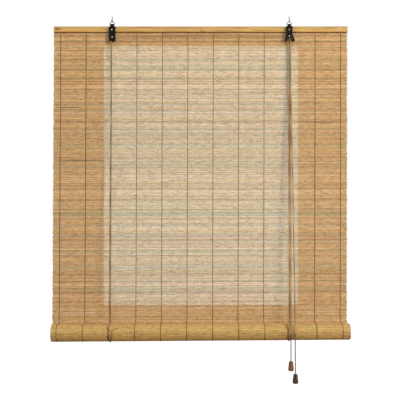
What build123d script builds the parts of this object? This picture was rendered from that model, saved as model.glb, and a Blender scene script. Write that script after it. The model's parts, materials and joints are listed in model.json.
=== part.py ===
from build123d import *
import math
import os

# Bamboo roll-up blind, hung from two screw hooks and partly rolled up from below.
# Frame: +X along the rail, +Y behind the blind, +Z up. The origin is midway between
# the two hook shanks, in the plane of the ceiling that they are screwed into.

# Driving dimensions, mm

BLIND_WIDTH = 1000.0  # rail, slats and battens
HANG = 1016.6  # rail's lower edge down to the roll's axis

PULLEY_X = 300.5  # each pulley's axle from the middle of the rail

RAIL_HEIGHT = 19.4
BATTEN = 6.0  # thickness of each batten, two of which clamp the mat
BATTEN_ROUND = 1.0
MAT_IN_RAIL = 14.7  # how far the mat reaches up between the battens

SLAT_WIDTH = 2.65
SLAT_THICK = 1.4
SLAT_PITCH = 3.0
WARPS = 12
WARP_WIDTH = 2.0
WARP_THICK = 0.5
WARP_INSET = 23.0  # outermost warp from the mat's side edge

ROLL_R = 30.75
LAYER_PITCH = 2.3  # from one turn of the roll to the next
LAYER = 1.8  # thickness of one turn, slats and warps together
HALF_TURNS = 13
ROLL_OVERHANG = 2.5  # how far the turns stray past the mat at each side

CORD_D = 3.4
CORD_GAP = 0.3  # between a cord and what turns or rolls beside it

AXLE_R = 1.25
RUNNING_FIT = 0.05
SHEAVE_WALL = 0.7  # sheave metal between bore and groove
FLANGE = 0.6
SHEAVE_END_PLAY = 0.3

SHEET = 0.9  # black steel sheet of the pulley housings
SHEET_BEND_R = 1.3
HOUSING_HALF = 10.8  # half the width of a housing's body
HOUSING_BODY = 48.3
LEFT_NECK = 6.3  # half the width of each neck, at the shoulders
RIGHT_NECK = 5.5
FLARE_DROP = 26.5  # below the shoulders, where the right housing starts to widen
LEFT_FLARE = 3.4  # how far it widens at each side
RIGHT_FLARE = 8.4
CORD_NOTCH = 6.5  # height of the notch in its lower edge
LEFT_AXLE_DROP = 36.8  # below the housing's shoulders
RIGHT_AXLE_DROP = 32.8

ROLLER_R = 3.0  # knurled lock roller
LOCK_PIN_R = 1.0
LOCK_TRAVEL = 4.0
LOCK_SLOPE = 60.0  # degrees above level, the way the roller frees the cords
LOCK_DROP = 8.5  # below the right axle
KNURLS = 16

HOOK_WIRE_R = 1.2
HOOK_THREAD = 8.0  # above the ceiling plane, with its point
HOOK_SHANK = 3.0
HOOK_BEND_R = 3.0
LEFT_HOOK_TURN = 60.0  # degrees about Z; the right hook opens along Y
RIGHT_HOOK_TURN = 90.0

RING_WIRE_R = 0.9
RING_WIDTH = 21.0
RING_HEIGHT = 10.8
RING_BEND_R = 1.3
SHOULDER_DROP = 7.8  # ring's bar down to the housings' shoulders
RAIL_DROP = 5.4  # and to the rail's top

SCREW_R = 1.4
SCREW_HEAD_R = 2.9
SCREW_HEAD = 2.0
SPACER_R = 3.0
RIVET_HEAD = 1.3
NAIL_R = 0.8
NAIL_X = 475.0  # outer nails from the middle
PILOT_FIT = 0.05

EYE_WIRE_R = 0.9
EYE_HOLE = 5.2  # depth in the rail
KNOT_R = 3.6

TASSEL_HEIGHT = 31.4
TASSEL_TOP_R = 7.2
TASSEL_WIDE_R = 9.5
TASSEL_WIDE_AT = 0.76  # of its height, from the top
TASSEL_TOP = 17.2  # wood above the knot's cavity
FIRST_TASSEL_DROP = 92.3  # roll's axis down to each tassel's top
SECOND_TASSEL_DROP = 134.6
FIRST_CORD_X = (300.5, 300.7)  # where each pull cord passes the roll, and hangs
SECOND_CORD_X = (314.5, 315.5)

# Sizes and places that follow

cord_r = CORD_D / 2
groove_r = AXLE_R + RUNNING_FIT + SHEAVE_WALL
groove_width = CORD_D + 0.4
groove_y = (groove_width + FLANGE) / 2  # each groove's middle from the sheave's
sheave_width = 2 * groove_width + 3 * FLANGE
flange_r = groove_r + CORD_D + 0.2
cord_path_r = groove_r + CORD_GAP + cord_r  # cord's centreline around a sheave
plate_gap = sheave_width + 2 * SHEAVE_END_PLAY

hook_curl_z = -(HOOK_SHANK + 2 * HOOK_BEND_R * math.sin(math.radians(60)))
hook_seat_z = hook_curl_z - HOOK_BEND_R + HOOK_WIRE_R
ring_top_z = hook_seat_z + RING_WIRE_R + 0.02
ring_bar_z = ring_top_z - RING_HEIGHT

shoulder_z = ring_bar_z - SHOULDER_DROP
housing_bottom_z = shoulder_z - HOUSING_BODY
left_axle_z = shoulder_z - LEFT_AXLE_DROP
right_axle_z = shoulder_z - RIGHT_AXLE_DROP

rail_front_y = plate_gap / 2 + SHEET
mat_front_y = rail_front_y + BATTEN
mat_back_y = mat_front_y + SLAT_THICK
rail_back_y = mat_back_y + BATTEN
rail_top_z = ring_bar_z - RAIL_DROP
rail_bottom_z = rail_top_z - RAIL_HEIGHT
rail_mid_z = (rail_top_z + rail_bottom_z) / 2
screw_z = rail_mid_z - 4.0

roll_y = mat_back_y - ROLL_R
roll_z = rail_bottom_z - HANG
bend_r = ROLL_R + WARP_THICK + CORD_GAP + cord_r  # lift cord's centreline under the roll
front_cord_y = roll_y - bend_r
back_cord_y = roll_y + bend_r

eye_r = cord_r + CORD_GAP + EYE_WIRE_R
eye_y = rail_back_y + 1.0 + eye_r + EYE_WIRE_R
eye_z = rail_mid_z
knot_rise = math.sqrt((KNOT_R + EYE_WIRE_R + 0.05) ** 2 - eye_r**2)
lift_top_z = eye_z + knot_rise - KNOT_R

left_cord_x = -PULLEY_X - cord_path_r
right_cord_x = PULLEY_X - cord_path_r
pull_x = PULLEY_X + cord_path_r  # both cords come down the right sheave's far side
lock_z = right_axle_z - LOCK_DROP
anvil_r = cord_path_r - cord_r - 0.4  # fills the way between the rising and falling cords
pull_top_z = housing_bottom_z - 2.0
roller_x = pull_x + cord_r + CORD_GAP + ROLLER_R
roller_turn = math.radians(LOCK_SLOPE)

nail_places = (-NAIL_X, 0.0, NAIL_X)

os.makedirs("parts", exist_ok=True)


def save(piece, name):
    piece.part.label = name
    export_step(piece.part, f"parts/{name}.step")


def along_y(x, z, y=0.0):
    """A plane square to Y, with its own X along X and its own Y along Z."""
    return Plane(origin=(x, y, z), x_dir=(1, 0, 0), z_dir=(0, -1, 0))


# Screw hooks: bent steel wire with a pointed thread that goes up into the ceiling


def screw_hook(name, x, turn):
    side = Vector(math.cos(math.radians(turn)), math.sin(math.radians(turn)), 0)
    upright = Plane(origin=(x, 0, 0), x_dir=side, z_dir=side.cross(Vector(0, 0, 1)))
    point = 2.0
    with BuildPart() as hook:
        with BuildLine(upright):
            Line((0, HOOK_THREAD - point), (0, -HOOK_SHANK))
            CenterArc((-HOOK_BEND_R, -HOOK_SHANK), HOOK_BEND_R, 0, -60)
            CenterArc((0, hook_curl_z), HOOK_BEND_R, 120, 270)
        with BuildSketch(Plane(origin=(x, 0, HOOK_THREAD - point), z_dir=(0, 0, -1))):
            Circle(HOOK_WIRE_R)
        sweep()
        with BuildSketch(Plane(origin=(x, 0, HOOK_THREAD - point))) as base:
            Circle(HOOK_WIRE_R)
        with BuildSketch(Plane(origin=(x, 0, HOOK_THREAD))) as tip:
            Circle(0.2)
        loft()
    save(hook, name)


screw_hook("left_screw_hook", -PULLEY_X, LEFT_HOOK_TURN)
screw_hook("right_screw_hook", PULLEY_X, RIGHT_HOOK_TURN)


# Hanger rings: three-sided wire rings, hung in the hooks, held in the housings' folds


def hanger_ring(name, x):
    with BuildPart() as ring:
        with BuildLine(along_y(x, 0)) as loop:
            FilletPolyline(
                (-1.6, ring_top_z),
                (1.6, ring_top_z),
                (RING_WIDTH / 2, ring_bar_z),
                (-RING_WIDTH / 2, ring_bar_z),
                radius=RING_BEND_R,
                close=True,
            )
        wire = loop.wires()[0]
        with BuildSketch(Plane(origin=wire @ 0, z_dir=wire % 0)):
            Circle(RING_WIRE_R)
        sweep()
    save(ring, name)


hanger_ring("left_hanger_ring", -PULLEY_X)
hanger_ring("right_hanger_ring", PULLEY_X)


# Pulley housings: one strip of sheet each, folded over the ring's bar into two plates


def fold_section(x):
    """The strip's edge view in a plane square to X: plate, neck, fold, neck, plate."""
    plate_y = (plate_gap + SHEET) / 2
    fold_r = RING_WIRE_R + 0.2 + SHEET / 2
    neck_foot_z = shoulder_z + SHEET_BEND_R
    neck_top_z = ring_bar_z - 2 * SHEET_BEND_R
    neck = [(plate_y, housing_bottom_z - SHEET), (plate_y, neck_foot_z)]
    neck += [(fold_r, neck_top_z), (fold_r, ring_bar_z)]
    with BuildSketch(Plane.YZ.offset(x)) as section:
        with BuildLine():
            FilletPolyline(*neck, radius=SHEET_BEND_R)
            ThreePointArc((fold_r, ring_bar_z), (0, ring_bar_z + fold_r), (-fold_r, ring_bar_z))
            FilletPolyline(*[(-y, z) for y, z in reversed(neck)], radius=SHEET_BEND_R)
        trace(line_width=SHEET)
    return section.sketch


over_fold_z = ring_bar_z + 3 * SHEET


def outline(x, corners):
    """A plate's front view from its corners, with its bottom corners rounded."""
    with BuildSketch(along_y(x, 0)) as front_view:
        with BuildLine():
            Polyline(*corners, close=True)
        make_face()
        fillet(front_view.vertices().group_by(Axis.Y)[0], radius=1.2)
    return front_view.sketch


def left_corners():
    eared = LEFT_NECK + SHEET_BEND_R  # the neck widens a little up to the fold
    return [
        (-eared, over_fold_z),
        (-LEFT_NECK, shoulder_z),
        (-HOUSING_HALF, shoulder_z),
        (-HOUSING_HALF, housing_bottom_z),
        (HOUSING_HALF, housing_bottom_z),
        (HOUSING_HALF, shoulder_z),
        (LEFT_NECK, shoulder_z),
        (eared, over_fold_z),
    ]


def right_corners():
    neck_foot_z = ring_bar_z - 2.7 * SHEET_BEND_R
    flare_top_z = shoulder_z - FLARE_DROP
    waist = HOUSING_HALF - 0.6
    notch_top_z = housing_bottom_z + CORD_NOTCH
    notch_half = cord_path_r + cord_r + 0.4
    notch_foot = notch_half + 0.8
    return [
        (-RIGHT_NECK, over_fold_z),
        (-RIGHT_NECK, neck_foot_z),
        (-HOUSING_HALF, shoulder_z),
        (-HOUSING_HALF, flare_top_z),
        (-HOUSING_HALF - LEFT_FLARE, housing_bottom_z),
        (-notch_foot, housing_bottom_z),
        (-notch_half, notch_top_z),
        (notch_half, notch_top_z),
        (notch_foot, housing_bottom_z),
        (HOUSING_HALF + RIGHT_FLARE, housing_bottom_z),
        (waist + 0.4, flare_top_z + 3 * SHEET),
        (waist, flare_top_z + 10 * SHEET),
        (HOUSING_HALF, shoulder_z),
        (RIGHT_NECK, neck_foot_z),
        (RIGHT_NECK, over_fold_z),
    ]


def folded_housing(name, x, axle_z, corners, lock):
    with BuildPart() as housing:
        extrude(fold_section(x), amount=3 * HOUSING_HALF, both=True)
        extrude(outline(x, corners), amount=plate_gap, both=True, mode=Mode.INTERSECT)
        with BuildSketch(along_y(x, 0)):
            with Locations((0, axle_z)):
                Circle(AXLE_R + PILOT_FIT)
            with Locations((0, screw_z)):
                Circle(SCREW_R + PILOT_FIT)
            if lock:
                with Locations((0, lock_z)):
                    Circle(anvil_r + PILOT_FIT)
                slot_middle = LOCK_TRAVEL / 2
                slot_x = roller_x - x + slot_middle * math.cos(roller_turn)
                with Locations((slot_x, lock_z + slot_middle * math.sin(roller_turn))):
                    slot_r = LOCK_PIN_R + 0.1
                    SlotOverall(LOCK_TRAVEL + 2 * slot_r, 2 * slot_r, rotation=LOCK_SLOPE)
        extrude(amount=plate_gap, both=True, mode=Mode.SUBTRACT)
    save(housing, name)


folded_housing("left_pulley_housing", -PULLEY_X, left_axle_z, left_corners(), False)
folded_housing("right_lock_housing", PULLEY_X, right_axle_z, right_corners(), True)


# Screws that fix the housings to the rail, each through a spacer between the plates

screw_end_y = rail_back_y - 2.8
head_y = -plate_gap / 2 - SHEET
rim_y = head_y - 0.25 * SCREW_HEAD
slot_r = 1.2  # flat end of the head's dome
with BuildPart() as screws:
    for x in (-PULLEY_X, PULLEY_X):
        with BuildSketch(Plane(origin=(x, 0, screw_z), x_dir=(0, 1, 0), z_dir=(1, 0, 0))):
            with BuildLine():
                Line((head_y, 0), (head_y - SCREW_HEAD, 0))
                Line((head_y - SCREW_HEAD, 0), (head_y - SCREW_HEAD, slot_r))
                RadiusArc((head_y - SCREW_HEAD, slot_r), (rim_y, SCREW_HEAD_R), SCREW_HEAD * 1.1)
                Polyline(
                    (rim_y, SCREW_HEAD_R),
                    (head_y, SCREW_HEAD_R),
                    (head_y, SCREW_R),
                    (screw_end_y - 2.5, SCREW_R),
                    (screw_end_y, 0),
                    (head_y, 0),
                )
            make_face()
        revolve(axis=Axis((x, 0, screw_z), (0, 1, 0)))
save(screws, "housing_screws")

with BuildPart() as spacers:
    for x in (-PULLEY_X, PULLEY_X):
        with BuildSketch(along_y(x, screw_z)):
            Circle(SPACER_R)
            Circle(SCREW_R + 4 * RUNNING_FIT, mode=Mode.SUBTRACT)
        extrude(amount=plate_gap / 2, both=True)
save(spacers, "screw_spacers")


# Sheaves: turned zinc wheels with two grooves; the left one carries one cord


def sheave(name, x, z):
    half = sheave_width / 2
    with BuildPart() as wheel:
        with BuildSketch(along_y(x, z)):
            Circle(flange_r)
            Circle(AXLE_R + RUNNING_FIT, mode=Mode.SUBTRACT)
        extrude(amount=half, both=True)
        for side in (-1, 1):
            with BuildSketch(along_y(x, z, side * groove_y)):
                Circle(flange_r + 1)
                Circle(groove_r, mode=Mode.SUBTRACT)
            extrude(amount=groove_width / 2, both=True, mode=Mode.SUBTRACT)
    save(wheel, name)


sheave("left_sheave", -PULLEY_X, left_axle_z)
sheave("right_sheave", PULLEY_X, right_axle_z)


# Axle rivets: plated, with a domed head in front and a flat one behind


def axle_rivet(name, x, z):
    front, back = -plate_gap / 2 - SHEET, plate_gap / 2 + SHEET
    head_r = 2.1 * AXLE_R
    with BuildPart() as rivet:
        with BuildSketch(Plane(origin=(x, 0, z), x_dir=(0, 1, 0), z_dir=(1, 0, 0))):
            with BuildLine():
                RadiusArc((front - RIVET_HEAD, 0), (front, head_r), head_r * 1.4)
                Polyline(
                    (front, head_r),
                    (front, AXLE_R),
                    (back, AXLE_R),
                    (back, head_r),
                    (back + 0.6 * RIVET_HEAD, head_r),
                    (back + 0.6 * RIVET_HEAD, 0),
                    (front - RIVET_HEAD, 0),
                )
            make_face()
        revolve(axis=Axis((x, 0, z), (0, 1, 0)))
    save(rivet, name)


axle_rivet("left_axle_rivet", -PULLEY_X, left_axle_z)
axle_rivet("right_axle_rivet", PULLEY_X, right_axle_z)


# Cord lock: a fixed anvil pin, and a knurled roller that wedges the cords against it

with BuildPart() as anvil:
    with BuildSketch(along_y(PULLEY_X, lock_z)):
        Circle(anvil_r)
    extrude(amount=plate_gap / 2 + SHEET, both=True)
save(anvil, "lock_anvil_pin")

with BuildPart() as lock_pin:
    with BuildSketch(along_y(roller_x, lock_z)):
        Circle(LOCK_PIN_R)
    extrude(amount=plate_gap / 2 + SHEET + 0.4, both=True)
save(lock_pin, "lock_pin")

with BuildPart() as roller:
    with BuildSketch(along_y(roller_x, lock_z)):
        Circle(ROLLER_R)
        Circle(LOCK_PIN_R + RUNNING_FIT, mode=Mode.SUBTRACT)
        with PolarLocations(ROLLER_R, KNURLS):
            Circle(0.25, mode=Mode.SUBTRACT)
    extrude(amount=plate_gap / 2 - 0.4, both=True)
save(roller, "lock_roller")


# Head rail: two planed battens with the mat's top edge nailed between them


def batten(y, z):
    with BuildSketch(Plane.YZ.offset(-BLIND_WIDTH / 2)) as section:
        with Locations((y, z)):
            RectangleRounded(BATTEN, RAIL_HEIGHT, BATTEN_ROUND)
    extrude(section.sketch, amount=BLIND_WIDTH)


def holes_along_y(places, z, radius, y=0.0, reach=40.0):
    with BuildSketch(along_y(0, z, y)) as bores:
        with Locations(*[(x, 0) for x in places]):
            Circle(radius)
    extrude(bores.sketch, amount=reach, both=True, mode=Mode.SUBTRACT)


def fixing_holes():
    holes_along_y((-PULLEY_X, PULLEY_X), screw_z, SCREW_R + PILOT_FIT)
    holes_along_y(nail_places, rail_mid_z, NAIL_R + PILOT_FIT)


with BuildPart() as rail_front:
    batten(rail_front_y + BATTEN / 2, rail_mid_z)
    fixing_holes()
save(rail_front, "head_rail_front")

with BuildPart() as rail_back:
    batten(mat_back_y + BATTEN / 2, rail_mid_z)
    fixing_holes()
    holes_along_y(
        (left_cord_x, right_cord_x),
        eye_z,
        EYE_WIRE_R + PILOT_FIT,
        y=rail_back_y,
        reach=EYE_HOLE,
    )
save(rail_back, "head_rail_back")


def nails(y, z, reach):
    """Round-head nails from y towards +Y, one at each nail place."""
    for radius, length in ((NAIL_R, -reach), (2 * NAIL_R, 0.6)):
        with BuildSketch(along_y(0, z, y)) as section:
            with Locations(*[(x, 0) for x in nail_places]):
                Circle(radius)
        extrude(section.sketch, amount=length)


with BuildPart() as rail_nails:
    nails(rail_front_y, rail_mid_z, rail_back_y - rail_front_y - 1.2)
save(rail_nails, "rail_nails")


# Screw eyes behind the rail, with the knotted upper ends of the lift cords on them

with BuildPart() as eyes:
    for x in (left_cord_x, right_cord_x):
        with BuildSketch(Plane(origin=(x, eye_y, eye_z), x_dir=(1, 0, 0), z_dir=(0, -1, 0))):
            with Locations((eye_r, 0)):
                Circle(EYE_WIRE_R)
        revolve(axis=Axis((x, eye_y, eye_z), (0, 0, 1)))
        with BuildSketch(along_y(x, eye_z, eye_y - eye_r)):
            Circle(EYE_WIRE_R)
        extrude(amount=eye_y - eye_r - (rail_back_y - EYE_HOLE + 0.2))
save(eyes, "cord_eyes")

with BuildPart() as lift_knots:
    for x in (left_cord_x, right_cord_x):
        with Locations((x, eye_y, eye_z + knot_rise)):
            Sphere(KNOT_R)
save(lift_knots, "lift_cord_knots")


# Hanging mat: split bamboo slats, and the warps that bind them in front and behind

mat_top_z = rail_bottom_z + MAT_IN_RAIL
lowest_slat_z = roll_z + 0.3 + SLAT_WIDTH / 2
slat_count = int((mat_top_z - lowest_slat_z) / SLAT_PITCH) + 1
clamped = int(MAT_IN_RAIL / SLAT_PITCH) + 1
mat_y = (mat_front_y + mat_back_y) / 2


def slats(first, last):
    with Locations(*[(0, mat_y, lowest_slat_z + n * SLAT_PITCH) for n in range(first, last)]):
        Box(BLIND_WIDTH, SLAT_THICK, SLAT_WIDTH)


with BuildPart() as mat:
    slats(slat_count - clamped, slat_count)
    fixing_holes()
    slats(0, slat_count - clamped)
save(mat, "mat_slats")

warp_pitch = (BLIND_WIDTH - 2 * WARP_INSET) / (WARPS - 1)
warp_top_z, warp_foot_z = rail_bottom_z - 0.3, roll_z + 1.0
with BuildPart() as warps:
    for y in (mat_front_y - WARP_THICK / 2, mat_back_y + WARP_THICK / 2):
        warp_mid_z = (warp_top_z + warp_foot_z) / 2
        first_x = -BLIND_WIDTH / 2 + WARP_INSET
        with Locations(*[(first_x + n * warp_pitch, y, warp_mid_z) for n in range(WARPS)]):
            Box(WARP_WIDTH, WARP_THICK, warp_top_z - warp_foot_z)
save(warps, "mat_warps")


# Rolled mat: one strip in turns, from the hanging mat's foot in to the core battens

roll_width = BLIND_WIDTH + 2 * ROLL_OVERHANG
first_r = ROLL_R - LAYER / 2
core_half = LAYER / 2 + 0.02
tail_rise = RAIL_HEIGHT / 2 + 4.3
inner_x = first_r - HALF_TURNS * LAYER_PITCH / 2
roll_end = Plane(origin=(-roll_width / 2, roll_y, roll_z), x_dir=(0, 1, 0), z_dir=(1, 0, 0))
with BuildPart() as rolled_mat:
    with BuildSketch(roll_end):
        with BuildLine():
            for turn in range(HALF_TURNS):
                below = 1 if turn % 2 == 0 else -1
                radius = first_r - (2 * turn + 1) * LAYER_PITCH / 4
                for face in (-LAYER / 2, LAYER / 2):
                    start = 0 if below == 1 else 180
                    CenterArc((below * LAYER_PITCH / 4, 0), radius + face, start, -180)
            for x in (first_r, -inner_x):
                Line((x - LAYER / 2, 0), (x + LAYER / 2, 0))
        make_face()
        with BuildLine():
            FilletPolyline(
                (-inner_x, 0),
                (-inner_x, tail_rise),
                (0, tail_rise),
                (0, 2 - RAIL_HEIGHT / 2),
                radius=[8.0, 3.6],
            )
        trace(line_width=LAYER)
    extrude(amount=roll_width)
    holes_along_y(nail_places, roll_z, NAIL_R + PILOT_FIT, y=roll_y, reach=core_half + 1)
save(rolled_mat, "mat_roll")

for name, side in (("core_batten_front", -1), ("core_batten_back", 1)):
    with BuildPart() as core:
        batten(roll_y + side * (core_half + BATTEN / 2), roll_z)
        holes_along_y(nail_places, roll_z, NAIL_R + PILOT_FIT, y=roll_y)
    save(core, name)

with BuildPart() as core_nails:
    nails(roll_y - core_half - BATTEN, roll_z, 2 * (core_half + BATTEN) - 1.2)
save(core_nails, "core_nails")


# Lift cords: from an eye down behind the mat, under the roll and up to a sheave


def straight_cord(name, start, end):
    """A tight cord between two points, with level end faces that meet the next stretch."""
    way = Vector(*end) - Vector(*start)
    with BuildPart() as cord:
        with BuildSketch(Plane(origin=start)):
            Circle(cord_r)
        extrude(amount=way.length, dir=way.normalized())
    save(cord, name)
    section = math.pi * cord_r**2
    print(f"{name}: straight, {way.length:.1f} mm, volume / (section x length) = "
          f"{cord.part.volume / (section * way.length):.4f}")


def cord_under_roll(name, x):
    with BuildPart() as cord:
        with BuildSketch(Plane(origin=(x, back_cord_y, roll_z))):
            Circle(cord_r)
        revolve(axis=Axis((x, roll_y, roll_z), (-1, 0, 0)), revolution_arc=180)
    save(cord, name)
    long = math.pi * bend_r
    print(f"{name}: radius {bend_r:.2f}, {long:.1f} mm, volume / (section x length) = "
          f"{cord.part.volume / (math.pi * cord_r**2 * long):.4f}")


def cord_over_sheaves(name, y, start_x, start_z, arcs, foot_z):
    """Up at start, round each arc (centre x, centre z, first degree, turn), and down."""
    with BuildPart() as cord:
        with BuildLine(along_y(0, 0, y)) as route:
            last = None
            for x, z, first, turn in arcs:
                arc = CenterArc((x, z), cord_path_r, first, -turn)
                begin = math.radians(first)
                begin_at = (x + cord_path_r * math.cos(begin), z + cord_path_r * math.sin(begin))
                if last:
                    Line(last, begin_at)
                finish = math.radians(first - turn)
                last = (x + cord_path_r * math.cos(finish), z + cord_path_r * math.sin(finish))
            Line(last, (last[0], foot_z))
        with BuildSketch(Plane(origin=(start_x, y, start_z))):
            Circle(cord_r)
        sweep()
    save(cord, name)
    long = sum(edge.length for edge in route.edges())
    print(f"{name}: radii {cord_path_r:.2f} at each sheave, {long:.1f} mm, "
          f"volume / (section x length) = {cord.part.volume / (math.pi * cord_r**2 * long):.4f}")


for side, x, top_z, y in (
    ("left", left_cord_x, left_axle_z, -groove_y),
    ("right", right_cord_x, right_axle_z, groove_y),
):
    straight_cord(f"lift_cord_{side}_back", (x, eye_y, lift_top_z), (x, back_cord_y, roll_z))
    cord_under_roll(f"lift_cord_{side}_bend", x)
    straight_cord(f"lift_cord_{side}_front", (x, y, top_z), (x, front_cord_y, roll_z))

climb = math.degrees(math.atan2(right_axle_z - left_axle_z, 2 * PULLEY_X))
cord_over_sheaves(
    "lift_cord_left_run",
    -groove_y,
    left_cord_x,
    left_axle_z,
    [
        (-PULLEY_X, left_axle_z, 180, 90 - climb),
        (PULLEY_X, right_axle_z, 90 + climb, 90 + climb),
    ],
    pull_top_z,
)
cord_over_sheaves(
    "lift_cord_right_run",
    groove_y,
    right_cord_x,
    right_axle_z,
    [(PULLEY_X, right_axle_z, 180, 180)],
    pull_top_z,
)


# Pull cords: out of the lock, over the roll's front, and down to a turned wood tassel


def tassel(name, x, top_z):
    hole_r = cord_r + 2 * CORD_GAP
    cavity_r = KNOT_R + 0.6
    foot = -TASSEL_HEIGHT
    with BuildPart() as bell:
        plane = Plane(origin=(x, front_cord_y, top_z), x_dir=(1, 0, 0), z_dir=(0, -1, 0))
        with BuildSketch(plane) as half:
            with BuildLine():
                Polyline(
                    (hole_r, 0),
                    (TASSEL_TOP_R, 0),
                    (TASSEL_WIDE_R, TASSEL_WIDE_AT * foot),
                    (TASSEL_WIDE_R - 0.2, foot),
                    (cavity_r, foot),
                    (cavity_r, -TASSEL_TOP),
                    (hole_r, cavity_r - hole_r - TASSEL_TOP),
                    close=True,
                )
            make_face()
            corners = half.vertices().filter_by(lambda v: v.X > cavity_r + 0.1)
            base, waist, top = corners.sort_by(Axis.Y)
            fillet(top, radius=2.2)
            fillet(waist, radius=6.0)
            fillet(base, radius=3.4)
        revolve(axis=Axis((x, front_cord_y, top_z), (0, 0, 1)))
    save(bell, name)


for n, (pass_x, hang_x), drop, y in (
    (1, FIRST_CORD_X, FIRST_TASSEL_DROP, -groove_y),
    (2, SECOND_CORD_X, SECOND_TASSEL_DROP, groove_y),
):
    tassel_z = roll_z - drop
    knot_z = tassel_z - TASSEL_TOP - KNOT_R - 0.4
    at_roll = (pass_x, front_cord_y, roll_z)
    straight_cord(f"pull_cord_{n}_upper", (pull_x, y, pull_top_z), at_roll)
    lean = (hang_x - pass_x) / drop
    end_x = hang_x + lean * (tassel_z - knot_z - KNOT_R)
    straight_cord(f"pull_cord_{n}_lower", at_roll, (end_x, front_cord_y, knot_z + KNOT_R))
    tassel(f"tassel_{n}", hang_x, tassel_z)
    with BuildPart() as knot:
        with Locations((end_x, front_cord_y, knot_z)):
            Sphere(KNOT_R)
    save(knot, f"tassel_knot_{n}")
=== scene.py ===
import json
import math
import random

import bmesh
import bpy
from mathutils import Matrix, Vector


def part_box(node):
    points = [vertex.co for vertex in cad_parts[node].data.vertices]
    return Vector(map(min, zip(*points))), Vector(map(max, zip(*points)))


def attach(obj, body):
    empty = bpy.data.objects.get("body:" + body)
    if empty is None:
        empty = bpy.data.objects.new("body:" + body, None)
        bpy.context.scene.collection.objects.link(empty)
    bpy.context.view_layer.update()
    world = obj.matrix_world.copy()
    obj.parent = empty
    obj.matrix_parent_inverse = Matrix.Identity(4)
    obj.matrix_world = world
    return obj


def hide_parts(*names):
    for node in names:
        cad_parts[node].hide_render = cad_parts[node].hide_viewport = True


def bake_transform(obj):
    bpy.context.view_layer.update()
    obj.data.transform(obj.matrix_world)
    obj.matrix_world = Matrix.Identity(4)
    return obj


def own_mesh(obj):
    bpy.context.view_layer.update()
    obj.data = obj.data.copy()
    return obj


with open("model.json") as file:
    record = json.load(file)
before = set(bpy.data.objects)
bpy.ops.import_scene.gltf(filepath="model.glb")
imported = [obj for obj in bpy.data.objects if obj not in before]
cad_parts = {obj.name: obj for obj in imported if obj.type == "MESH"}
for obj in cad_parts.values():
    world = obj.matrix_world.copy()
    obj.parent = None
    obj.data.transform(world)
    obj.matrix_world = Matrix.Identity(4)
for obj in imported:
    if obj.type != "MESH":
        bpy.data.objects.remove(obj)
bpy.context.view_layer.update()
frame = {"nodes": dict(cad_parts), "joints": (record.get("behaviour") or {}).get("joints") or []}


# Head rail: two planed battens of bare yellow softwood, with the mat's top edge nailed
# between them. The grain runs out at a slant, dust has turned the top edge greenish,
# and handling has left a few brown smudges.

MM = 0.001


def linear(code):
    """The linear colour, with alpha, of an sRGB hex code."""
    channels = [int(code[at:at + 2], 16) / 255 for at in (0, 2, 4)]
    curve = [c / 12.92 if c <= 0.04045 else ((c + 0.055) / 1.055) ** 2.4 for c in channels]
    return (*curve, 1.0)


def add_node(tree, kind, settings=None, links=None):
    """Adds a node. Settings are its own properties, its sockets' values, or a ramp's stops."""
    node = tree.nodes.new("ShaderNode" + kind)
    for name, value in (settings or {}).items():
        if name == "stops":
            while len(node.color_ramp.elements) < len(value):
                node.color_ramp.elements.new(0.5)
            for stop, (place, colour) in zip(node.color_ramp.elements, value):
                stop.position = place
                stop.color = colour
        elif isinstance(name, str) and hasattr(node, name):
            setattr(node, name, value)
        else:
            node.inputs[name].default_value = value
    for name, source in (links or {}).items():
        tree.links.new(source, node.inputs[name])
    return node


def start_material(name, roughness, metallic=0.0, colour="808080"):
    material = bpy.data.materials.new(name)
    material.use_nodes = True
    shader = material.node_tree.nodes["Principled BSDF"]
    shader.inputs["Base Color"].default_value = linear(colour)
    shader.inputs["Roughness"].default_value = roughness
    shader.inputs["Metallic"].default_value = metallic
    return material, material.node_tree, shader


def dress(material, *nodes):
    for name in nodes:
        for place in frame["nodes"][name].material_slots:
            place.material = material


def grey(value):
    return (value, value, value, 1.0)


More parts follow.
